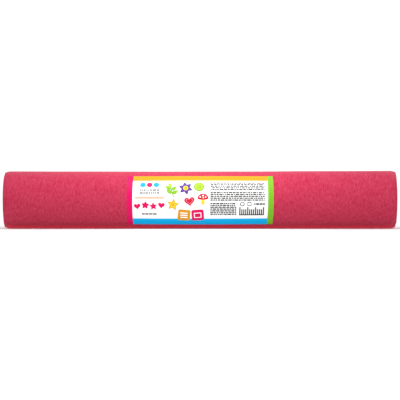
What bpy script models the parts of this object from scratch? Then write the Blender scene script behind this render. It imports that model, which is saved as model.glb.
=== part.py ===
"""A roll of craft felt that lies on its side, with a printed paper label on its front.

One sheet of felt, 500 mm wide and 700 mm long, is wound a little over three turns round an open
middle. The roll lies along X on a small flat spot. Its free edge hangs at the lower front, just
under the label, which faces -Y. Units are metres, +Z is up, and the origin is the middle of the
flat spot, on the surface that the roll lies on.
"""

import math

import bmesh
import bpy
from mathutils import Vector

# The felt sheet, as cut
SHEET_WIDTH = 0.500
SHEET_LENGTH = 0.700
FELT_THICKNESS = 0.0020

# How it is wound: angles are read round the roll's axis, from the front (-Y) up towards the top
OUTER_RADIUS = 0.03833
TURN_GAP = 0.00035
FREE_EDGE_ANGLE = math.radians(-52.5)
BOTTOM_ANGLE = math.radians(270)
ANGLE_STEP = math.radians(7.5)

# How the soft roll settles: it spreads a little, and flattens where it lies
SPREAD = 0.008
FLAT_HALF_ANGLE = 1.5 * ANGLE_STEP
FLAT_REACH = math.radians(45)

# The paper label
LABEL_WIDTH = 0.1864
LABEL_TOP_ANGLE = math.radians(57)
LABEL_BOTTOM_ANGLE = math.radians(-51.5)
LABEL_THICKNESS = 0.0003
LABEL_GAP = 0.0004
LABEL_SIDE_BOW = 0.0012
LABEL_EDGE_BOW = math.radians(1.1)
LABEL_COLUMNS = 8
LABEL_ROWS = 16

# Sizes that follow from those above
HALF_WIDTH = SHEET_WIDTH / 2
TURN_PITCH = FELT_THICKNESS + TURN_GAP
INWARD_PER_RADIAN = TURN_PITCH / math.tau
START_RADIUS = OUTER_RADIUS - FELT_THICKNESS / 2

# Sections along the roll. lift is how far its top stands above an even roll there, and pinch is
# how far the felt's cut edges are pressed in at the two ends.
SECTIONS = (
    {"x": -HALF_WIDTH, "lift": 0.00000, "pinch": 0.00070},
    {"x": -0.2470, "lift": 0.00000, "pinch": 0.00025},
    {"x": -0.2420, "lift": 0.00000, "pinch": 0.00000},
    {"x": -0.1400, "lift": -0.00020, "pinch": 0.00000},
    {"x": -0.0500, "lift": -0.00033, "pinch": 0.00000},
    {"x": 0.0500, "lift": -0.00008, "pinch": 0.00000},
    {"x": 0.1300, "lift": 0.00040, "pinch": 0.00000},
    {"x": 0.2420, "lift": 0.00077, "pinch": 0.00000},
    {"x": 0.2470, "lift": 0.00077, "pinch": 0.00025},
    {"x": HALF_WIDTH, "lift": 0.00077, "pinch": 0.00070},
)


def section_value(x, column):
    """Reads a column of SECTIONS at any place along the roll, in straight runs between rows."""
    for before, after in zip(SECTIONS, SECTIONS[1:]):
        if x <= after["x"]:
            share = (x - before["x"]) / (after["x"] - before["x"])
            return before[column] + share * (after[column] - before[column])
    return SECTIONS[-1][column]


def spiral_radius(turned):
    """Radius of the felt's middle line, after winding this far in from the free edge."""
    return START_RADIUS - INWARD_PER_RADIAN * turned


def full_winding():
    """How far the whole sheet winds: the angle at which the spiral is SHEET_LENGTH long."""
    inner_squared = START_RADIUS**2 - 2 * INWARD_PER_RADIAN * SHEET_LENGTH
    return (START_RADIUS - math.sqrt(inner_squared)) / INWARD_PER_RADIAN


def settled_radius(turned):
    """The spiral's radius, cut back to a level line where each turn passes under the axis."""
    first_pass = BOTTOM_ANGLE - FREE_EDGE_ANGLE
    turn = max(0, round((turned - first_pass) / math.tau))
    bottom = first_pass + turn * math.tau
    from_bottom = turned - bottom
    if abs(from_bottom) > FLAT_REACH:
        return spiral_radius(turned)
    level = spiral_radius(bottom + FLAT_HALF_ANGLE) * math.cos(FLAT_HALF_ANGLE)
    return min(spiral_radius(turned), level / math.cos(from_bottom))


def wound_point(x, turned, outwards=0.0):
    """Where a point of the sheet lies once wound, with the roll's axis at height 0."""
    angle = FREE_EDGE_ANGLE + turned
    radius = settled_radius(turned) - section_value(x, "pinch") + outwards
    height = radius * math.sin(angle) * (1 - SPREAD)
    height += section_value(x, "lift") * max(0.0, math.sin(angle)) ** 2
    return Vector((x, -radius * math.cos(angle) * (1 + SPREAD), height))


def winding_angles():
    """Angles at which the sheet is creased into facets. Two of them are the flat spot's edges."""
    whole = full_winding()
    count = int(whole / ANGLE_STEP - 0.5) + 1
    return [0.0, *((step + 0.5) * ANGLE_STEP for step in range(count)), whole]


def axis_height():
    """Height of the roll's axis when the outside of its flat spot touches the surface."""
    bottom = settled_radius(BOTTOM_ANGLE - FREE_EDGE_ANGLE)
    return bottom * (1 - SPREAD) + FELT_THICKNESS / 2


def make_material(name, colour, roughness):
    material = bpy.data.materials.new(name)
    material.use_nodes = True
    shader = material.node_tree.nodes["Principled BSDF"]
    shader.inputs["Base Color"].default_value = (*colour, 1.0)
    shader.inputs["Roughness"].default_value = roughness
    shader.inputs["Metallic"].default_value = 0.0
    return material


def add_part(name, shape, material, collection, axis):
    """Makes a bmesh an object of its own on the roll's axis, and frees the bmesh."""
    mesh = bpy.data.meshes.new(name)
    shape.to_mesh(mesh)
    shape.free()
    mesh.materials.append(material)
    part = bpy.data.objects.new(name, mesh)
    collection.objects.link(part)
    part.parent = axis
    return part


def thicken(part, thickness, side):
    """Gives an open sheet its thickness. side is 0 for both ways and 1 for outwards only."""
    shell = part.modifiers.new("thickness", "SOLIDIFY")
    shell.thickness = thickness
    shell.offset = side
    shell.use_even_offset = True


def flat_sheet():
    """The unwound felt as a bmesh: X along the roll, and Y the angle that it will be wound to."""
    shape = bmesh.new()
    corners = [shape.verts.new((row["x"], 0.0, 0.0)) for row in SECTIONS]
    edges = [shape.edges.new(pair) for pair in zip(corners, corners[1:])]
    angles = winding_angles()
    for before, after in zip(angles, angles[1:]):
        made = bmesh.ops.extrude_edge_only(shape, edges=edges)["geom"]
        edges = [item for item in made if isinstance(item, bmesh.types.BMEdge)]
        moved = [item for item in made if isinstance(item, bmesh.types.BMVert)]
        edges = [edge for edge in edges if all(end in moved for end in edge.verts)]
        bmesh.ops.translate(shape, verts=moved, vec=(0.0, after - before, 0.0))
    return shape


def build_felt(collection, axis):
    shape = flat_sheet()
    for corner in shape.verts:
        corner.co = wound_point(corner.co.x, corner.co.y)
    bmesh.ops.recalc_face_normals(shape, faces=shape.faces)
    crimson = make_material("crimson_felt", (0.60, 0.045, 0.105), 0.95)
    felt = add_part("felt_roll", shape, crimson, collection, axis)
    thicken(felt, FELT_THICKNESS, 0)
    return felt


def label_point(across, up):
    """A point of the label, from its place across and up it, each from -1 to 1."""
    half_width = LABEL_WIDTH / 2 - LABEL_SIDE_BOW * up**2
    middle = (LABEL_TOP_ANGLE + LABEL_BOTTOM_ANGLE) / 2
    half_angle = (LABEL_TOP_ANGLE - LABEL_BOTTOM_ANGLE) / 2 - LABEL_EDGE_BOW * across**2
    turned = middle + half_angle * up - FREE_EDGE_ANGLE
    return wound_point(across * half_width, turned, FELT_THICKNESS / 2 + LABEL_GAP)


def build_label(collection, axis):
    shape = bmesh.new()
    bmesh.ops.create_grid(shape, x_segments=LABEL_COLUMNS, y_segments=LABEL_ROWS, size=1)
    for corner in shape.verts:
        corner.co = label_point(corner.co.x, corner.co.y)
    paper = make_material("coated_paper", (0.85, 0.85, 0.84), 0.45)
    label = add_part("label", shape, paper, collection, axis)
    thicken(label, LABEL_THICKNESS, 1)
    return label


def build_roll():
    for old in list(bpy.data.objects):
        bpy.data.objects.remove(old)
    collection = bpy.data.collections.new("roll_of_felt")
    bpy.context.scene.collection.children.link(collection)
    axis = bpy.data.objects.new("roll_axis", None)
    axis.location.z = axis_height()
    collection.objects.link(axis)
    build_felt(collection, axis)
    build_label(collection, axis)


build_roll()
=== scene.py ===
# %% [markdown]
# # A roll of craft felt
# One sheet of crimson needle felt is wound a little over three turns round an open middle, and a
# printed paper label is stuck to its front. The solid model gives the places and sizes. This
# lesson dresses it: the felt gets its soft surface and cut edges, the label its thin paper and
# its print, and a white studio lights them. The other way to start would be an empty scene, but
# then nothing would say where the solids lie.
# %% Load the solid model
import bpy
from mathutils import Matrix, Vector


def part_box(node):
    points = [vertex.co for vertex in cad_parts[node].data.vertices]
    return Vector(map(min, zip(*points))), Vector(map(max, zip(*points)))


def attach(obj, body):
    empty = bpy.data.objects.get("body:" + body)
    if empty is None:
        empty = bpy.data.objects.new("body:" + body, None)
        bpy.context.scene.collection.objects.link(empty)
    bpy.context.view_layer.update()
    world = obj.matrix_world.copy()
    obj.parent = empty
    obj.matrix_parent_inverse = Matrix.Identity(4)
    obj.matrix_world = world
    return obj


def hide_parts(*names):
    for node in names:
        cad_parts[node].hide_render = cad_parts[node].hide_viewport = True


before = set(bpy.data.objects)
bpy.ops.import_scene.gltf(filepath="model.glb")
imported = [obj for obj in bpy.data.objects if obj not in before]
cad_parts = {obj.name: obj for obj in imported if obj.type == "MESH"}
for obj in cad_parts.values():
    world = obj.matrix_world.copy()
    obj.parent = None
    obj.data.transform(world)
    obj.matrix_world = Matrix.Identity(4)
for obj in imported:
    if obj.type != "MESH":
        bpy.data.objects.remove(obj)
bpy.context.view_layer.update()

# %% Modules, and one length unit
import math
import random

import bmesh
import bpy
from mathutils import Matrix, Vector, noise

MM = 0.001
label_low, label_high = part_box("label")
print("label node is", round((label_high[0] - label_low[0]) / MM, 1), "mm wide")

# %% [markdown]
# ## How the sheet is wound
# The sheet's middle line is a spiral that loses one pitch of radius in each turn. A point on the
# flat sheet is known by two lengths, across the roll and along the winding, and one function
# carries it to its place on the roll. A curve with a twist could be swept along the spiral in its
# place, but a function lets the label and the print follow the very same surface.
# %% The sheet and its spiral
SHEET_WIDTH = 500 * MM
SHEET_LENGTH = 700 * MM
FELT_THICKNESS = 2.25 * MM  # 2 mm when it is pressed, a little more where it lies loose
OUTER_RADIUS = 38.33 * MM
TURN_PITCH = 2.35 * MM
START_RADIUS = OUTER_RADIUS - 1.0 * MM
INWARD_PER_RADIAN = TURN_PITCH / math.tau
FREE_EDGE_ANGLE = math.radians(-52.5)  # angles turn from the front, at 0, over the top, at 90
BOTTOM_ANGLE = math.radians(270)


def spiral_radius(turned):
    """Radius of the felt's middle line, this far in from the free edge."""
    return START_RADIUS - INWARD_PER_RADIAN * turned


def turned_by(length):
    """The angle that a length of sheet winds through, measured from the free edge."""
    inner_squared = START_RADIUS**2 - 2 * INWARD_PER_RADIAN * length
    return (START_RADIUS - math.sqrt(inner_squared)) / INWARD_PER_RADIAN


print("the sheet winds", round(turned_by(SHEET_LENGTH) / math.tau, 2), "turns")

# %% [markdown]
# ## How the soft roll settles
# A real roll isn't a perfect spiral. It spreads a little under its own weight, it goes flat where
# it lies, its top is higher at one end, its cut ends turn in, and its surface has long shallow
# waves. A lattice could bend a finished roll like that. Here the same function adds each of these
# by its real size, so that the flat spot stays exactly level.
# %% The level spot below
FLAT_HALF_ANGLE = math.radians(11.25)
FLAT_REACH = math.radians(45)
FLAT_BLEND = 0.3 * MM
FIRST_PASS = BOTTOM_ANGLE - FREE_EDGE_ANGLE  # how far the sheet has turned when it is first below


def smallest(a, b, blend):
    """The smaller of two lengths, with the change from one to the other rounded off."""
    share = min(1.0, max(0.0, 0.5 + 0.5 * (b - a) / blend))
    return b + (a - b) * share - blend * share * (1 - share)


def settled_radius(turned):
    """The spiral's radius, cut back to a level line where each turn passes under the axis."""
    bottom = FIRST_PASS + max(0, round((turned - FIRST_PASS) / math.tau)) * math.tau
    if abs(turned - bottom) > FLAT_REACH:
        return spiral_radius(turned)
    level = spiral_radius(bottom + FLAT_HALF_ANGLE) * math.cos(FLAT_HALF_ANGLE)
    return smallest(spiral_radius(turned), level / math.cos(turned - bottom), FLAT_BLEND)


flat_width = 2 * spiral_radius(FIRST_PASS) * math.sin(FLAT_HALF_ANGLE)
print("the level spot is about", round(flat_width / MM, 1), "mm wide")

# %% The uneven top
TOP_LIFTS_MM = (
    (-250, 0.20), (-140, 0.0), (-50, -0.15), (50, 0.0), (130, 0.40), (190, 0.68), (250, 0.77),
)


def ease(share):
    """0 to 1 with a soft start and end."""
    share = min(1.0, max(0.0, share))
    return share * share * (3 - 2 * share)


def top_lift(x):
    """How far the roll's top stands above an even roll, at a place along it."""
    for (x0, lift0), (x1, lift1) in zip(TOP_LIFTS_MM, TOP_LIFTS_MM[1:]):
        if x <= x1 * MM:
            return (lift0 + (lift1 - lift0) * ease((x / MM - x0) / (x1 - x0))) * MM
    return TOP_LIFTS_MM[-1][1] * MM


print("the top is lifted by", round(top_lift(SHEET_WIDTH / 2) / MM, 2), "mm at its right end")

# %% From the flat sheet to the settled roll
SPREAD = 0.008  # the roll is wider and lower by this share
END_PINCH = 1.2 * MM
PINCH_REACH = 8 * MM
WAVE_HEIGHT = 0.16 * MM
WAVE_LENGTH = 55 * MM
WAVES_ROUND = 1.1  # one turn follows a ring of this radius through the noise
WAVES_START = 5
WAVES_FADE = 0.35  # the waves die out towards the level spot over this share of the radius
SLIP = 0.45 * MM  # turns stand out past each other at the ends
SLIP_PER_RADIAN = 0.55
AXIS_HEIGHT = settled_radius(FIRST_PASS) * (1 - SPREAD) + FELT_THICKNESS / 2


def wound(x, turned, outwards=0.0):
    """Where a point of the sheet lies on the roll, with the surface that it rests on at height 0."""
    angle = FREE_EDGE_ANGLE + turned
    front, up = math.cos(angle), math.sin(angle)
    wave = noise.noise(Vector((x / WAVE_LENGTH, WAVES_ROUND * front, WAVES_ROUND * up + WAVES_START)))
    radius = settled_radius(turned) + outwards + WAVE_HEIGHT * wave * ease((1 + up) / WAVES_FADE)
    radius -= END_PINCH * ease((abs(x) - SHEET_WIDTH / 2 + PINCH_REACH) / PINCH_REACH) ** 2
    height = radius * up * (1 - SPREAD) + top_lift(x) * max(0.0, up) ** 2
    slipped = x + SLIP * math.sin(SLIP_PER_RADIAN * turned)
    return Vector((slipped, -radius * front * (1 + SPREAD), AXIS_HEIGHT + height))


print("the axis is", round(AXIS_HEIGHT / MM, 2), "mm up")

# %% [markdown]
# ## Materials from their real scales
# Every colour is written as the sRGB hex that a colour picker shows, and one function turns it
# to the linear values that the renderer adds up. Every pattern is given by a size in millimetres.
# One small function adds a node with its settings and its links, which keeps a material's recipe
# readable from top to bottom.
# %% Colour and node helpers
def from_hex(code):
    """Linear RGBA from an sRGB hex colour."""
    parts = [int(code[i : i + 2], 16) / 255 for i in (1, 3, 5)]
    linear = [c / 12.92 if c <= 0.04045 else ((c + 0.055) / 1.055) ** 2.4 for c in parts]
    return (*linear, 1.0)


def add(tree, kind, inputs=None, **settings):
    """Adds a node with its settings. Each input gets a value, or a link from another's output."""
    made = tree.nodes.new(kind)
    for name, value in settings.items():
        setattr(made, name, value)
    for socket, value in (inputs or {}).items():
        if isinstance(value, bpy.types.NodeSocket):
            tree.links.new(value, made.inputs[socket])
        else:
            made.inputs[socket].default_value = value
    return made


def new_material(name, **shader_values):
    """A material with one Principled shader. Returns it, its tree and the shader."""
    material = bpy.data.materials.new(name)
    material.use_nodes = True
    shader = material.node_tree.nodes["Principled BSDF"]
    for socket, value in shader_values.items():
        shader.inputs[socket.replace("_", " ")].default_value = value
    return material, material.node_tree, shader


print("crimson in linear light:", [round(c, 3) for c in from_hex("#B8344E")])

# %% [markdown]
# ## Needle-punched polyester felt
# Craft felt is a web of crimped polyester staple, dyed in the mass and tangled by barbed needles.
# It has no weave, and no smooth face that could mirror the room. So the specular level is 0, and
# a sheen alone gives the pale bloom of fibre ends. The flat sheet gives two of the pattern's
# coordinates and the distance from the roll's axis the third, so that the cut ends show fibres
# too, and not the edge of the face pattern drawn out. Object coordinates alone would be simpler,
# but the fibres would not follow the winding.
# %% Felt shader, and where its pattern sits
felt, tree, shader = new_material(
    "needle_punched_polyester_felt",
    Roughness=0.6,
    IOR=1.5,
    Specular_IOR_Level=0.0,
    Sheen_Weight=0.3,
    Sheen_Roughness=0.4,
    Sheen_Tint=from_hex("#FFC9D4"),
)
flat_place = add(tree, "ShaderNodeSeparateXYZ", {
    "Vector": add(tree, "ShaderNodeUVMap", uv_map="cut_sheet").outputs["UV"],
})
off_axis = add(tree, "ShaderNodeVectorMath", {
    0: add(tree, "ShaderNodeTexCoord").outputs["Object"], 1: (0.0, 0.0, AXIS_HEIGHT),
}, operation="SUBTRACT").outputs["Vector"]
across_axis = add(tree, "ShaderNodeVectorMath", {
    0: off_axis, 1: (0.0, 1.0, 1.0),
}, operation="MULTIPLY").outputs["Vector"]
sheet_place = add(tree, "ShaderNodeCombineXYZ", {
    "X": flat_place.outputs["X"],
    "Y": flat_place.outputs["Y"],
    "Z": add(tree, "ShaderNodeVectorMath", {0: across_axis}, operation="LENGTH").outputs["Value"],
}).outputs["Vector"]
print("the felt's pattern is placed by", len(tree.nodes), "nodes")

# %% [markdown]
# ## Streaks, tufts and fibres
# The web is cross-lapped, so short streaks of fibre lean a little to both sides of the winding,
# and single crimped fibres cross each other at every angle. The streaks are two stretched noises
# that lean apart. A fibre is the line along which a stretched noise passes its middle value,
# which wanders as a crimped fibre does, and six leans of it make the tangle. Real hair strands
# would show more, but only from a few centimetres away. Fibres are about 0.03 mm thick, too fine
# to show, so they are drawn two to three times as wide.
# %% Felt noises
LAYER_MM = 0.8
CRIMP_MM = (0.55, 2.2)
FIBRE_EDGE = 0.05


def felt_noise(grain_mm, detail, roughness=0.55, lean=0.0):
    """Noise on the flat sheet. Its grains have this width and length, and lean by this angle."""
    grains = add(tree, "ShaderNodeMapping", {
        "Vector": sheet_place,
        "Rotation": (0.0, 0.0, math.radians(lean)),
        "Scale": (grain_mm[0] * MM, grain_mm[1] * MM, LAYER_MM * MM),
    }, vector_type="TEXTURE")
    return add(tree, "ShaderNodeTexNoise", {
        "Vector": grains.outputs["Vector"], "Scale": 1.0, "Detail": detail, "Roughness": roughness,
    }).outputs["Fac"]


def crossing_fibres(lean):
    """1 along the lines where a stretched noise passes its middle value, and 0 beside them."""
    field = felt_noise(CRIMP_MM, 1.0, lean=lean)
    off = add(tree, "ShaderNodeMath", {0: field, 1: 0.5}, operation="SUBTRACT").outputs[0]
    off = add(tree, "ShaderNodeMath", {0: off}, operation="ABSOLUTE").outputs[0]
    return add(tree, "ShaderNodeMapRange", {
        "Value": off, "From Max": FIBRE_EDGE, "To Min": 1.0, "To Max": 0.0,
    }).outputs["Result"]


def weighted(first, second, weight):
    """The first value plus this share of the second."""
    return add(tree, "ShaderNodeMath", {
        0: second, 1: weight, 2: first,
    }, operation="MULTIPLY_ADD").outputs[0]


print("a fibre's bend is", CRIMP_MM[1], "mm long")

# %% Felt streaks and pile
STREAK_MM = (1.2, 5.5)
STREAK_LEANS = (9, -13)
CLOUD_MM = (22.0, 22.0)
TUFT_MM = (0.9, 1.4)
FIBRE_LEANS = (-68, -41, -15, 12, 38, 70)
FIBRE_SHARE = 0.3

streaks = [felt_noise(STREAK_MM, 2.0, lean=lean) for lean in STREAK_LEANS]
clouds = felt_noise(CLOUD_MM, 3.0)
tufts = felt_noise(TUFT_MM, 3.0, 0.6)
fibres = crossing_fibres(FIBRE_LEANS[0])
for lean in FIBRE_LEANS[1:]:
    fibres = weighted(fibres, crossing_fibres(lean), 1.0)
web = weighted(streaks[0], streaks[1], 1.0)
pile = weighted(tufts, fibres, FIBRE_SHARE)
print(len(STREAK_LEANS), "leans of streaks and", len(FIBRE_LEANS), "of fibres")

# %% Felt colour and bump
PILE_SHARE = 0.45
CLOUD_SHARE = 0.3
DARKEST_SHADE = 1.20
PALEST_SHADE = 1.86

shade = weighted(weighted(web, pile, PILE_SHARE), clouds, CLOUD_SHARE)
dyed = add(tree, "ShaderNodeValToRGB", {"Fac": add(tree, "ShaderNodeMapRange", {
    "Value": shade, "From Min": DARKEST_SHADE, "From Max": PALEST_SHADE,
}).outputs["Result"]})
dyed.color_ramp.elements[0].color = from_hex("#AC243E")
dyed.color_ramp.elements[1].color = from_hex("#C5435E")
tree.links.new(dyed.outputs["Color"], shader.inputs["Base Color"])
coarse = add(tree, "ShaderNodeBump", {
    "Height": web, "Strength": 0.5, "Distance": 0.35 * MM,
})
fine = add(tree, "ShaderNodeBump", {
    "Height": pile, "Strength": 0.6, "Distance": 0.2 * MM, "Normal": coarse.outputs["Normal"],
})
tree.links.new(fine.outputs["Normal"], shader.inputs["Normal"])
print("felt material has", len(tree.nodes), "nodes")

# %% [markdown]
# ## The wound sheet
# The sheet starts flat, as it was cut: one grid, with a UV map in metres that stays with the
# cloth. Every point is then carried to its place on the roll. Solidify gives the felt its
# thickness and a Bevel softens the cut edges, since a square edge would look like card. A
# spiral profile could be extruded along the roll too, but it would not keep the flat cut size.
# %% Make a piece
def make_piece(name, shape, *materials):
    """Makes a finished bmesh an object at the origin that rides on the roll, and frees the bmesh."""
    mesh = bpy.data.meshes.new(name)
    shape.to_mesh(mesh)
    shape.free()
    for material in materials:
        mesh.materials.append(material)
    mesh.shade_smooth()
    piece = bpy.data.objects.new(name, mesh)
    bpy.context.scene.collection.objects.link(piece)
    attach(piece, "root")
    return piece


# %% Flat grid and thickness
def flat_grid(columns, rows, width, height, uv_name, crowding=0.0):
    """A flat grid, facing up, with a UV map of its own lengths in metres. With crowding above 0
    its columns stand closer at both ends, where the shape turns in."""
    shape = bmesh.new()
    bmesh.ops.create_grid(shape, x_segments=columns, y_segments=rows, size=0.5)
    for corner in shape.verts:
        corner.co.x += crowding * math.sin(math.tau * corner.co.x) / math.tau
    bmesh.ops.scale(shape, vec=(width, height, 1), verts=shape.verts)
    uv = shape.loops.layers.uv.new(uv_name)
    for face in shape.faces:
        for loop in face.loops:
            loop[uv].uv = loop.vert.co.xy
    return shape


def thicken(piece, thickness, side):
    """Gives an open sheet its thickness: both ways at side 0, outwards at 1, inwards at -1."""
    shell = piece.modifiers.new("thickness", "SOLIDIFY")
    shell.thickness = thickness
    shell.offset = side
    shell.use_even_offset = True


print("a felt sheet is thickened by", FELT_THICKNESS / MM, "mm")

# %% Wind the felt
SHEET_COLUMNS = 160
SHEET_ROWS = 236
END_CROWDING = 0.6
EDGE_SOFTNESS = 0.75 * MM

shape = flat_grid(SHEET_COLUMNS, SHEET_ROWS, SHEET_WIDTH, SHEET_LENGTH, "cut_sheet", END_CROWDING)
for corner in shape.verts:
    corner.co = wound(corner.co.x, turned_by(corner.co.y + SHEET_LENGTH / 2))
felt_sheet = make_piece("felt_sheet", shape, felt)
thicken(felt_sheet, FELT_THICKNESS, 0)
soft_edge = felt_sheet.modifiers.new("soft_cut_edge", "BEVEL")
soft_edge.width = EDGE_SOFTNESS
soft_edge.segments = 3
soft_edge.limit_method = "ANGLE"
soft_edge.angle_limit = math.radians(60)
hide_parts("felt_roll")
print("felt sheet:", len(felt_sheet.data.polygons), "faces before it is thickened")

# %% [markdown]
# ## The paper label
# The label is coated paper, about 0.12 mm thick, that follows the roll's front. Its ends bow out
# a little where the round front brings them nearer. It is modelled as the felt is: a flat grid,
# carried to the roll by one function, which the print then shares. A Shrinkwrap modifier could
# press a flat sheet on the roll too, but it would pick up the felt's own unevenness.
# %% Place anything on the label
LABEL_WIDTH_MM = 186.4
LABEL_TOP_ANGLE = math.radians(57)
LABEL_BOTTOM_ANGLE = math.radians(-51.5)
LABEL_RADIUS_MM = 38.6
LABEL_SIDE_BOW_MM = 1.2
LABEL_EDGE_BOW = math.radians(1.1)
PAPER_THICKNESS = 0.12 * MM
PAPER_CLEARANCE = 0.06 * MM
CORNER_CURL = 0.25 * MM
HALF_ACROSS_MM = LABEL_WIDTH_MM / 2
HALF_ARC = (LABEL_TOP_ANGLE - LABEL_BOTTOM_ANGLE) / 2
HALF_UP_MM = HALF_ARC * LABEL_RADIUS_MM


def on_label(across_mm, up_mm, lift=0.0):
    """Where a point of the flat label lies on the roll, lift above the paper's back."""
    across = across_mm / HALF_ACROSS_MM
    up = up_mm / HALF_UP_MM
    x = across * (HALF_ACROSS_MM - LABEL_SIDE_BOW_MM * up * up) * MM
    angle = (LABEL_TOP_ANGLE + LABEL_BOTTOM_ANGLE) / 2 + up * (HALF_ARC - LABEL_EDGE_BOW * across**2)
    curl = CORNER_CURL * across**8 * up**8  # high powers keep it to the very corners
    outwards = FELT_THICKNESS / 2 + PAPER_CLEARANCE + curl
    return wound(x, angle - FREE_EDGE_ANGLE, outwards + lift)


print("the flat label is", LABEL_WIDTH_MM, "x", round(2 * HALF_UP_MM, 1), "mm")

# %% [markdown]
# ## Coated paper
# Label stock is bleached pulp with a thin china-clay coating that is calendered smooth. That
# gives a white with the slightest warmth, a soft gloss, and a faint unevenness where the paper
# follows the felt below. A plain white would do from far away, but it looks like plastic near to.
# %% Paper material
CALENDER_MM = 3.0

paper, tree, shader = new_material("coated_label_paper", Roughness=0.42, IOR=1.5)
cloudy = add(tree, "ShaderNodeTexNoise", {
    "Vector": add(tree, "ShaderNodeUVMap", uv_map="flat_label").outputs["UV"],
    "Scale": 1 / (CALENDER_MM * MM), "Detail": 3.0,
}).outputs["Fac"]
white = add(tree, "ShaderNodeValToRGB", {"Fac": cloudy})
white.color_ramp.elements[0].color = from_hex("#F3F3F1")
white.color_ramp.elements[1].color = from_hex("#FAFAF8")
tree.links.new(white.outputs["Color"], shader.inputs["Base Color"])
tree.links.new(add(tree, "ShaderNodeMapRange", {
    "Value": cloudy, "To Min": 0.36, "To Max": 0.50,
}).outputs["Result"], shader.inputs["Roughness"])
tree.links.new(add(tree, "ShaderNodeBump", {
    "Height": cloudy, "Strength": 0.3, "Distance": 0.05 * MM,
}).outputs["Normal"], shader.inputs["Normal"])
print("paper material has", len(tree.nodes), "nodes")

# %% The blank label
LABEL_COLUMNS = 62
LABEL_ROWS = 30


def crisp_rim(shape):
    """Keeps the light on a thin sheet from rolling over its cut edge, as it does on thick felt."""
    for edge in shape.edges:
        edge.smooth = not edge.is_boundary


shape = flat_grid(LABEL_COLUMNS, LABEL_ROWS, LABEL_WIDTH_MM * MM, 2 * HALF_UP_MM * MM, "flat_label")
for corner in shape.verts:
    corner.co = on_label(corner.co.x / MM, corner.co.y / MM)
crisp_rim(shape)
paper_label = make_piece("paper_label", shape, paper)
thicken(paper_label, PAPER_THICKNESS, 1)
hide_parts("label")
print("paper label:", len(paper_label.data.polygons), "faces before it is thickened")

# %% [markdown]
# ## The print
# The label carries a plain printed design: ribbon borders, a row of bold shapes, a scatter of
# felt cut-outs, two tiles, rows of fine dashes and a centimetre scale. Each shape is drawn flat
# in millimetres, cut into narrow rows and columns so that it can bend, and carried to the paper
# by the label's own function. An image could hold the whole print, but shapes stay sharp at any
# distance. Each ink film lies about two hundredths of a millimetre over the one below.
# %% Ink colours
INK_COLOURS = {
    "magenta": "#D7005A",
    "deep_magenta": "#BC004E",
    "orange": "#D8950C",
    "deep_orange": "#C67E08",
    "green": "#79B322",
    "deep_green": "#629A1A",
    "blue": "#00AEE7",
    "deep_blue": "#0092CA",
    "violet": "#56308F",
    "pale_violet": "#8E74BE",
    "yellow": "#E0C828",
    "lime": "#A5C72B",
    "red": "#C91C33",
    "pink": "#EA83A5",
    "grey": "#303034",
    "black": "#161618",
    "white": "#FAFAF8",
}
print(len(INK_COLOURS), "ink colours")

# %% Ink material
INK_GRAIN_MM = 0.35


def ink(name, code):
    """Offset ink on coated paper: slightly mottled where the paper takes it up, and half matt."""
    material, tree, shader = new_material(name, Roughness=0.45, IOR=1.5, Specular_IOR_Level=0.15)
    grain = add(tree, "ShaderNodeTexNoise", {
        "Vector": add(tree, "ShaderNodeTexCoord").outputs["Object"],
        "Scale": 1 / (INK_GRAIN_MM * MM), "Detail": 2.0,
    }).outputs["Fac"]
    mottled = add(tree, "ShaderNodeHueSaturation", {
        "Value": add(tree, "ShaderNodeMapRange", {
            "Value": grain, "To Min": 0.94, "To Max": 1.06,
        }).outputs["Result"],
        "Color": from_hex(code),
    })
    tree.links.new(mottled.outputs["Color"], shader.inputs["Base Color"])
    return material


INKS = {name: ink(name + "_offset_ink", code) for name, code in INK_COLOURS.items()}
print("the first ink is", INKS["magenta"].name)

# %% [markdown]
# ## Flat shapes
# Each drawing starts as a circle's n-gon whose points a rule moves, or as a square with its
# corners bevelled. A flower, a star, a heart and a leaf are then a line or two each. They could
# be drawn as curves and filled, but a rule needs no handles to place.
# %% Round shapes
PETAL_DEPTH = 0.18  # how far a petal stands out, as a share of the flower's width
STAR_WAIST = 0.5


def outline(points, rule):
    """A flat face whose edge follows rule, which turns an angle and a count into (x, y)."""
    shape = bmesh.new()
    bmesh.ops.create_circle(shape, cap_ends=True, segments=points, radius=1)
    for number, corner in enumerate(shape.verts):
        corner.co = (*rule(math.tau * number / points, number), 0)
    return shape


def disc(radius, points=24):
    """A round shape."""
    return outline(points, lambda angle, number: (radius * math.cos(angle), radius * math.sin(angle)))


def polar(points, radius_of):
    """A shape given by its radius at each angle, from straight up."""
    return outline(points, lambda angle, number: (
        -radius_of(angle, number) * math.sin(angle), radius_of(angle, number) * math.cos(angle)
    ))


def flower(radius, petals):
    """Round petals, one of them straight up."""
    return polar(12 * petals, lambda angle, number: radius * (
        1 - PETAL_DEPTH + PETAL_DEPTH * math.cos(petals * angle)
    ))


def star(radius, points=5):
    """A star with one point straight up."""
    return polar(2 * points, lambda angle, number: radius if number % 2 == 0 else STAR_WAIST * radius)


print("petals stand out by", PETAL_DEPTH, "of a flower's width")

# %% Heart, leaf and bar
LEAF_TAPER = 0.35


def heart(size):
    """The usual heart curve, about twice size wide."""
    unit = size / 17
    return outline(40, lambda angle, number: (
        16 * unit * math.sin(angle) ** 3,
        unit * (13 * math.cos(angle) - 5 * math.cos(2 * angle))
        - unit * (2 * math.cos(3 * angle) + math.cos(4 * angle)),
    ))


def leaf(length, width):
    """An oval that is narrower towards its tip."""
    return outline(24, lambda angle, number: (
        length / 2 * math.cos(angle),
        width / 2 * math.sin(angle) * (1 - LEAF_TAPER * math.cos(angle)),
    ))


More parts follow.
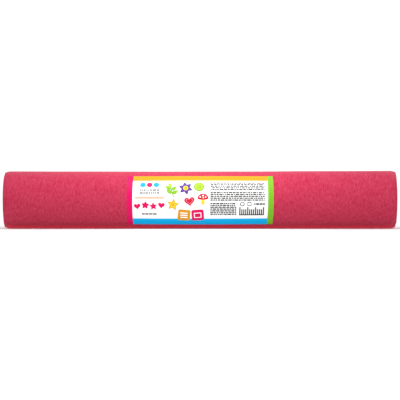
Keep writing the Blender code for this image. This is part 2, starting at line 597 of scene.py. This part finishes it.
def strip(width, height, corner=0.0):
    """A flat bar, its corners rounded if corner isn't 0."""
    shape = bmesh.new()
    bmesh.ops.create_grid(shape, x_segments=1, y_segments=1, size=0.5)
    bmesh.ops.scale(shape, vec=(width, height, 1), verts=shape.verts)
    if corner:
        bmesh.ops.bevel(
            shape, geom=shape.verts[:], affect="VERTICES",
            offset=corner, segments=4, profile=0.5, material=-1,
        )
    return shape


print("a leaf is narrower by", LEAF_TAPER, "at its tip")

# %% [markdown]
# ## From a flat drawing to the paper
# A printed film bends with its paper, and a flat face can't. So each drawing is first cut along
# lines a few millimetres apart, and then carried over point by point. All shapes join one mesh,
# the print, with one material for each ink. A Boolean could stamp them on the label, but it would
# cut up the paper as well.
# %% Cut a drawing so that it can bend
COLUMN_MM = 4.0
ROW_MM = 2.4


def cut_along(shape, axis, pitch):
    """Cuts a flat shape at every multiple of pitch along x (axis 0) or y (axis 1)."""
    places = [corner.co[axis] for corner in shape.verts]
    across_cut = Vector((axis == 0, axis == 1, 0))
    for line in range(math.ceil(min(places) / pitch), math.floor(max(places) / pitch) + 1):
        bmesh.ops.bisect_plane(
            shape, geom=shape.verts[:] + shape.edges[:] + shape.faces[:],
            plane_co=across_cut * line * pitch, plane_no=across_cut,
        )


print("columns are", COLUMN_MM, "mm wide and rows", ROW_MM, "mm high")

# %% Put a drawing on the paper
INK_STEP = 0.022 * MM
printed = bmesh.new()


def print_shape(shape, ink_name, across, up, layer=1, turn=0.0):
    """Prints a flat shape: turns it, puts it on the label facing out, and adds it to the print."""
    place = Matrix.Translation((across, up, 0)) @ Matrix.Rotation(math.radians(turn), 4, "Z")
    bmesh.ops.transform(shape, matrix=place, verts=shape.verts)
    bmesh.ops.triangulate(shape, faces=shape.faces)
    cut_along(shape, 0, COLUMN_MM)
    cut_along(shape, 1, ROW_MM)
    for face in shape.faces:
        face.material_index = list(INKS).index(ink_name)
        face.normal_update()
        if face.normal.z < 0:
            face.normal_flip()
    for corner in shape.verts:
        corner.co = on_label(corner.co.x, corner.co.y, PAPER_THICKNESS + layer * INK_STEP)
    flat = bpy.data.meshes.new("flat_print")
    shape.to_mesh(flat)
    shape.free()
    printed.from_mesh(flat)
    bpy.data.meshes.remove(flat)


print("each ink film lies", round(INK_STEP / MM, 3), "mm over the one below")

# %% [markdown]
# ## Ribbon borders
# Four plain ribbons frame the label. Each has a running stitch along its middle, printed in a
# deeper shade of the same colour. A dashed material could draw the stitches, but shapes of their
# own keep each dash whole.
# %% Print the borders
SIDE_RIBBON_MM = 7.2
TOP_RIBBON_MM = 9.6
BOTTOM_RIBBON_MM = 10.4
STITCH_PITCH_MM = 4.2
STITCH_MM = 2.5
THREAD_MM = 0.6


def ribbon(ink_name, across, up, width, height):
    """A border ribbon with a running stitch along its middle."""
    print_shape(strip(width, height), ink_name, across, up)
    lies = width > height
    count = int(max(width, height) / STITCH_PITCH_MM)
    for number in range(count):
        along = (number - (count - 1) / 2) * STITCH_PITCH_MM
        stitch = strip(STITCH_MM, THREAD_MM, 0.2) if lies else strip(THREAD_MM, STITCH_MM, 0.2)
        place = (across + along, up) if lies else (across, up + along)
        print_shape(stitch, "deep_" + ink_name, *place, layer=2)


between_sides = LABEL_WIDTH_MM - 2 * SIDE_RIBBON_MM
side_height = 2 * HALF_UP_MM
side_across = HALF_ACROSS_MM - SIDE_RIBBON_MM / 2
ribbon("orange", 0, HALF_UP_MM - TOP_RIBBON_MM / 2, between_sides, TOP_RIBBON_MM)
ribbon("blue", 0, -HALF_UP_MM + BOTTOM_RIBBON_MM / 2, between_sides, BOTTOM_RIBBON_MM)
ribbon("green", side_across, 0, SIDE_RIBBON_MM, side_height)
ribbon("magenta", -side_across, 0, SIDE_RIBBON_MM, side_height)
print("borders:", len(printed.faces), "faces")

# %% [markdown]
# ## Felt cut-outs
# Along the middle runs a loose scatter of felt cut-outs: a sprig, a flower, a button, a star, a
# heart and a mushroom. Each has a darker or lighter inside, as layered cut-outs have. They are
# generic shapes, built up from the helpers above, one ink film for each layer of felt.
# %% Flower and star
def stitch_round(radius, count, across, up, ink_name, layer):
    """Small dashes round a circle, as a running stitch."""
    for number in range(count):
        angle = math.tau * (number + 0.5) / count
        x = across + radius * math.cos(angle)
        y = up + radius * math.sin(angle)
        stitch = strip(width=1.1, height=0.45, corner=0.15)
        print_shape(stitch, ink_name, x, y, layer=layer, turn=math.degrees(angle) + 90)


def print_flower(across, up):
    """A violet flower with a stitched ring and a yellow middle."""
    print_shape(flower(radius=8.6, petals=6), "violet", across, up, turn=12)
    print_shape(disc(radius=3.3), "yellow", across, up, layer=2)
    print_shape(disc(radius=1.6, points=14), "orange", across, up, layer=3)
    stitch_round(5.3, 12, across, up, "pale_violet", layer=2)


def print_star(across, up):
    """A yellow star on an orange one."""
    print_shape(star(radius=8.2), "orange", across, up, turn=-10)
    print_shape(star(radius=6.0), "yellow", across, up, layer=2, turn=-10)
    print_shape(disc(radius=1.5, points=14), "orange", across, up, layer=3)


print("a star's waist is", STAR_WAIST, "of its radius")

# %% Sprig
STEM_TURN = 18
STEM_LEAN = 0.32  # how far the stem moves left for each step up
LEAF_REACH_MM = 3.8
LEAF_RISE_MM = 1.3
SPRIG_LEAVES = ((-1, 4.0, 128), (1, 3.4, 40), (-1, -1.2, 146), (1, -1.8, 32))


def print_sprig(across, up):
    """A leaning stem with a leaf at its tip, and more to the left (-1) and the right (1)."""
    stem = strip(width=1.1, height=15.5, corner=0.4)
    print_shape(stem, "deep_green", across, up, turn=STEM_TURN)
    print_shape(leaf(7.6, 4.2), "lime", across - 2.7, up + 9.2, layer=2, turn=90 + STEM_TURN)
    for side, height, turn in SPRIG_LEAVES:
        x = across + side * LEAF_REACH_MM - STEM_LEAN * height
        y = up + height + LEAF_RISE_MM
        print_shape(leaf(length=8.0, width=4.6), "green", x, y, layer=2, turn=turn)
        vein = strip(width=5.0, height=0.5, corner=0.2)
        print_shape(vein, "lime", x, y, layer=3, turn=turn)


print("a sprig has", len(SPRIG_LEAVES) + 1, "leaves")

# %% Button, heart and mushroom
BUTTON_FACE = 0.84  # shares of the button's radius
HOLE_REACH = 0.3
HOLE_SIZE = 0.13
MUSHROOM_DOTS = ((-3.4, 3.0, 1.0), (0.2, 4.8, 1.1), (3.4, 2.9, 0.95), (0.4, 1.9, 0.8))


def print_button(radius, rim, face, holes, across, up):
    """A round button with a rim and four holes."""
    print_shape(disc(radius, 32), rim, across, up)
    print_shape(disc(BUTTON_FACE * radius, 32), face, across, up, layer=2)
    for quarter in range(4):
        angle = math.radians(45 + 90 * quarter)
        x = across + HOLE_REACH * radius * math.cos(angle)
        y = up + HOLE_REACH * radius * math.sin(angle)
        print_shape(disc(HOLE_SIZE * radius, 12), holes, x, y, layer=3)


def print_heart(across, up):
    """A red heart with a pink line inside its edge."""
    print_shape(heart(7.0), "red", across, up, turn=8)
    print_shape(heart(4.8), "pink", across, up + 0.2, layer=2, turn=8)
    print_shape(heart(4.0), "red", across, up + 0.2, layer=3, turn=8)


def print_mushroom(across, up):
    """A stalk, a cap that is high above its rim and shallow below it, and dots on the cap."""
    print_shape(strip(width=4.2, height=8.0, corner=1.5), "yellow", across, up - 3.0)
    cap = outline(28, lambda angle, number: (
        6.9 * math.cos(angle), (6.6 if math.sin(angle) > 0 else 1.5) * math.sin(angle)
    ))
    print_shape(cap, "red", across, up + 0.8, layer=2)
    for x, y, radius in MUSHROOM_DOTS:
        print_shape(disc(radius, 12), "white", across + x, up + y, layer=3)


print("a mushroom has", len(MUSHROOM_DOTS), "dots")

# %% Print the cut-outs
print_sprig(across=-36.0, up=10.5)
print_flower(across=-18.5, up=15.5)
print_button(6.6, "deep_green", "lime", "deep_green", across=-1.5, up=17.5)
print_star(across=-34.5, up=-6.5)
print_heart(across=-13.5, up=-2.0)
print_mushroom(across=3.5, up=0.5)
print("with the cut-outs:", len(printed.faces), "faces")

# %% [markdown]
# ## Bold row and tiles
# At the left a row of bold magenta shapes is the label's main accent, under three small buttons,
# a few grey dashes and a thin orange rule. Two tilted tiles close the scatter of cut-outs below.
# The dashes have uneven lengths from a seeded draw, which looks less ruled than even ones and
# still comes out the same each time.
# %% Rows of dashes
DASH_SHORTEST_MM = 1.2
DASH_LONGEST_MM = 5.0
DASH_GAP_MM = 0.7


def print_dashes(left, right, top, rows, pitch, height, ink_name, seed):
    """Rows of dashes of uneven length, from left to right and from top down."""
    lengths = random.Random(seed)
    for row in range(rows):
        x = left
        while x < right - DASH_SHORTEST_MM:
            width = min(lengths.uniform(DASH_SHORTEST_MM, DASH_LONGEST_MM), right - x)
            print_shape(strip(width, height, 0.2), ink_name, x + width / 2, top - row * pitch)
            x += width + DASH_GAP_MM


print("dashes are", DASH_SHORTEST_MM, "to", DASH_LONGEST_MM, "mm long")

# %% Print the left block
BOLD_PITCH_MM = 10.2
BOLD_LEFT_MM = -79.8
BOLD_UP_MM = -8.0
LEFT_MIDDLE_MM = -64.5
SMALL_BUTTON_PITCH_MM = 8.5
LEFT_DASH = {"pitch": 4.0, "height": 1.8, "ink_name": "grey"}

for place, bold in enumerate((heart(4.5), flower(4.8, 5), star(5.4), heart(4.5))):
    sway = 1 if place % 2 else -1
    across = BOLD_LEFT_MM + BOLD_PITCH_MM * place
    print_shape(bold, "magenta", across, BOLD_UP_MM + 0.7 * sway, turn=-6 * sway)
print_shape(strip(width=37.0, height=1.5, corner=0.5), "deep_orange", LEFT_MIDDLE_MM, up=2.2)
for place, colour in ((-1, "blue"), (0, "magenta"), (1, "blue")):
    across = LEFT_MIDDLE_MM + place * SMALL_BUTTON_PITCH_MM
    print_button(3.6, "deep_" + colour, colour, "deep_" + colour, across, up=20.5)
print_dashes(left=-77.0, right=-52.0, top=12.8, rows=2, seed=4, **LEFT_DASH)
print_dashes(left=-74.0, right=-55.0, top=-19.2, rows=1, seed=5, **LEFT_DASH)
print("with the left block:", len(printed.faces), "faces")

# %% Print the two tiles
TILE_MM = 15.6
TILE_UP_MM = -21.0
ORANGE_TILE_MM = -20.5
ORANGE_TURN = -5
MAGENTA_TILE_MM = -3.0
MAGENTA_TURN = 4
BAR_PITCH_MM = 3.2


def tile_patch(width, height, corner, ink_name, across, turn, layer, up=TILE_UP_MM):
    """One bar or patch of a tilted tile."""
    print_shape(strip(width, height, corner), ink_name, across, up, layer=layer, turn=turn)


tile_patch(TILE_MM, TILE_MM, 2.2, "orange", ORANGE_TILE_MM, ORANGE_TURN, layer=3)
tile_patch(TILE_MM, TILE_MM, 2.2, "magenta", MAGENTA_TILE_MM, MAGENTA_TURN, layer=3)
for row in (1, 0, -1):
    bar_up = TILE_UP_MM + row * BAR_PITCH_MM
    tile_patch(9.4, 1.6, 0.6, "white", ORANGE_TILE_MM, ORANGE_TURN, layer=4, up=bar_up)
tile_patch(9.6, 7.6, 0.8, "white", MAGENTA_TILE_MM, MAGENTA_TURN, layer=4)
tile_patch(7.4, 5.4, 0.4, "magenta", MAGENTA_TILE_MM, MAGENTA_TURN, layer=5)
print("with the tiles:", len(printed.faces), "faces")

# %% [markdown]
# ## Fine dashes and the centimetre scale
# At the right, rows of fine grey dashes, like hand stitches, fill a quiet block. Below them
# stand a plain scale of three centimetres, in steps of a quarter, and two small outlines. An
# outline is a solid shape with a smaller white one printed over it.
# %% Print the fine dashes
FINE_LEFT_MM = 13.0
FINE_RIGHT_MM = 82.0
FINE_DASH = {"pitch": 2.45, "height": 1.7, "ink_name": "grey"}

print_dashes(FINE_LEFT_MM, FINE_RIGHT_MM, top=23.2, rows=5, seed=11, **FINE_DASH)
print_dashes(FINE_LEFT_MM, FINE_RIGHT_MM, top=9.2, rows=5, seed=12, **FINE_DASH)
print_dashes(FINE_LEFT_MM, right=46.0, top=-5.0, rows=7, seed=13, **FINE_DASH)
print("with the fine dashes:", len(printed.faces), "faces")

# %% Print the scale
SCALE_LEFT_MM = 50.5
SCALE_UP_MM = -20.4
TICK_PITCH_MM = 2.5
TICKS_IN_A_CM = 4
TICK_STEPS = 12
TICK_MM = 1.5
TALL_TICK_MM = 10.6
SHORT_TICK_MM = 7.8

for tick in range(TICK_STEPS + 1):
    tall = SHORT_TICK_MM if tick % TICKS_IN_A_CM else TALL_TICK_MM
    across = SCALE_LEFT_MM + tick * TICK_PITCH_MM
    print_shape(strip(TICK_MM, tall), "black", across, SCALE_UP_MM + tall / 2)
scale_length = TICK_STEPS * TICK_PITCH_MM
base_line = strip(scale_length + TICK_MM, 1.4)
print_shape(base_line, "black", SCALE_LEFT_MM + scale_length / 2, SCALE_UP_MM)
print("the scale is", scale_length, "mm long")

# %% Print the two outlines
OUTLINES_UP_MM = -5.8
OUTLINES = (
    (53.5, disc(2.9), disc(1.9)),
    (62.5, strip(5.0, 5.0, 0.9), strip(3.2, 3.2, 0.5)),
)

for across, solid, hollow in OUTLINES:
    print_shape(solid, "grey", across, OUTLINES_UP_MM)
    print_shape(hollow, "white", across, OUTLINES_UP_MM, layer=2)
print_dashes(
    68.5, FINE_RIGHT_MM, OUTLINES_UP_MM, rows=1, pitch=0, height=2.2, ink_name="black", seed=14,
)
print("all shapes:", len(printed.faces), "faces")

# %% Finish the print
INK_FILM = 0.012 * MM

crisp_rim(printed)
label_print = make_piece("label_print", printed, *INKS.values())
thicken(label_print, INK_FILM, -1)
print("label print:", len(label_print.data.polygons), "faces before it is thickened")

# %% [markdown]
# ## What the cloth is
# The felt is the only cloth here. It was cut 500 x 700 mm and then wound on itself.
print("the felt was cut", SHEET_WIDTH / MM, "x", SHEET_LENGTH / MM, "mm")

# %% [markdown]
# ## Studio
# The roll lies on a white table in an even white room, as in a catalogue picture. The table is
# plain near the roll, so its soft shadow shows, and lit a little further out, which keeps the
# ground white to the edges of the frame. A larger lamp could do that as well, but it would also
# flatten the light on the roll.
# %% Floor material
WASH_START = 0.12
WASH_END = 0.6
WASH_STRENGTH = 0.18

white, tree, shader = new_material(
    "matt_white_acrylic",
    Base_Color=from_hex("#E2E2E2"),
    Roughness=0.9,
    Specular_IOR_Level=0.2,
    Emission_Color=from_hex("#FFFFFF"),
)
from_roll = add(tree, "ShaderNodeVectorMath", {
    0: add(tree, "ShaderNodeTexCoord").outputs["Object"],
}, operation="LENGTH").outputs["Value"]
tree.links.new(add(tree, "ShaderNodeMapRange", {
    "Value": from_roll, "From Min": WASH_START, "From Max": WASH_END, "To Max": WASH_STRENGTH,
}, interpolation_type="SMOOTHSTEP").outputs["Result"], shader.inputs["Emission Strength"])
print("the floor's wash starts", WASH_START, "m from the roll's middle")

# %% Floor
FLOOR_SIDE = 9.0
FLOOR_GAP = 0.3 * MM

shape = bmesh.new()
bmesh.ops.create_grid(shape, x_segments=1, y_segments=1, size=0.5)
bmesh.ops.scale(shape, vec=(FLOOR_SIDE, FLOOR_SIDE, 1), verts=shape.verts)
bmesh.ops.translate(shape, vec=(0, 0, -FLOOR_GAP), verts=shape.verts)
floor_mesh = bpy.data.meshes.new("floor")
shape.to_mesh(floor_mesh)
shape.free()
floor_mesh.materials.append(white)
floor = bpy.data.objects.new("floor", floor_mesh)
bpy.context.scene.collection.objects.link(floor)
print("floor is", FLOOR_SIDE, "m wide")

# %% [markdown]
# ## Lights
# The white room lights the roll from all round. A small softbox, about 0.3 m above the table and
# a little to the front, makes the roll brightest on top and lets it fall off towards its ends. A
# weak fill lies on the table and stands for what a pale table throws back, so that the roll's
# underside isn't black. Both lamps are out of the camera's sight. One large lamp would be softer
# still, but then nothing would show how round the roll is.
# %% Softbox and fill
AXIS_PLACE = Vector((0, 0, AXIS_HEIGHT))
SOFTBOX_SIZE = (0.2, 0.2)
SOFTBOX_PLACE = Vector((0, -0.12, 0.30))
SOFTBOX_WATTS = 0.75
FILL_SIZE = (0.5, 0.04)
FILL_PLACE = Vector((0, 0, -0.1 * MM))
FILL_WATTS = 0.038


def area_light(name, size, place, watts, code):
    """A rectangular light, aimed at the roll's axis and out of the camera's sight."""
    lamp = bpy.data.lights.new(name, "AREA")
    lamp.shape = "RECTANGLE"
    lamp.size, lamp.size_y = size
    lamp.energy = watts
    lamp.color = from_hex(code)[:3]
    stand = bpy.data.objects.new(name, lamp)
    stand.location = place
    stand.rotation_euler = (AXIS_PLACE - place).to_track_quat("-Z", "Y").to_euler()
    stand.visible_camera = False
    bpy.context.scene.collection.objects.link(stand)


area_light("softbox", SOFTBOX_SIZE, SOFTBOX_PLACE, SOFTBOX_WATTS, "#FFFFFF")
area_light("table_fill", FILL_SIZE, FILL_PLACE, FILL_WATTS, "#FF9DAC")
print("softbox", SOFTBOX_SIZE, "m, fill", FILL_SIZE, "m")

# %% White room
ROOM_STRENGTH = 1.10

world = bpy.data.worlds.new("white_room")
world.use_nodes = True
room = world.node_tree.nodes["Background"]
room.inputs["Color"].default_value = (1, 1, 1, 1)
room.inputs["Strength"].default_value = ROOM_STRENGTH
bpy.context.scene.world = world
bpy.context.scene.view_settings.view_transform = "Standard"
print("room strength", ROOM_STRENGTH)

# %% [markdown]
# ## Camera
# The picture is taken straight from the front, a degree above the roll, through a long lens from
# almost three metres, which keeps both ends square. The lens is worked out from the roll's length
# in the frame. A near camera with a short lens would show the ends, which the picture doesn't.
# %% Camera
CAMERA_DISTANCE = 2.74
CAMERA_ELEVATION = math.radians(1.0)
LENS_MM = 192.0
SENSOR_MM = 36.0
AIM_ABOVE_AXIS = 0.65 * MM

camera = bpy.data.cameras.new("catalogue_camera")
camera.lens = LENS_MM
camera.sensor_width = SENSOR_MM
camera_stand = bpy.data.objects.new("catalogue_camera", camera)
aim = Vector((0, 0, AXIS_HEIGHT + AIM_ABOVE_AXIS))
towards_camera = Vector((0, -math.cos(CAMERA_ELEVATION), math.sin(CAMERA_ELEVATION)))
camera_stand.location = aim + CAMERA_DISTANCE * towards_camera
camera_stand.rotation_euler = (math.pi / 2 - CAMERA_ELEVATION, 0, 0)
bpy.context.scene.collection.objects.link(camera_stand)
bpy.context.scene.camera = camera_stand
print("camera at", [round(value, 3) for value in camera_stand.location])
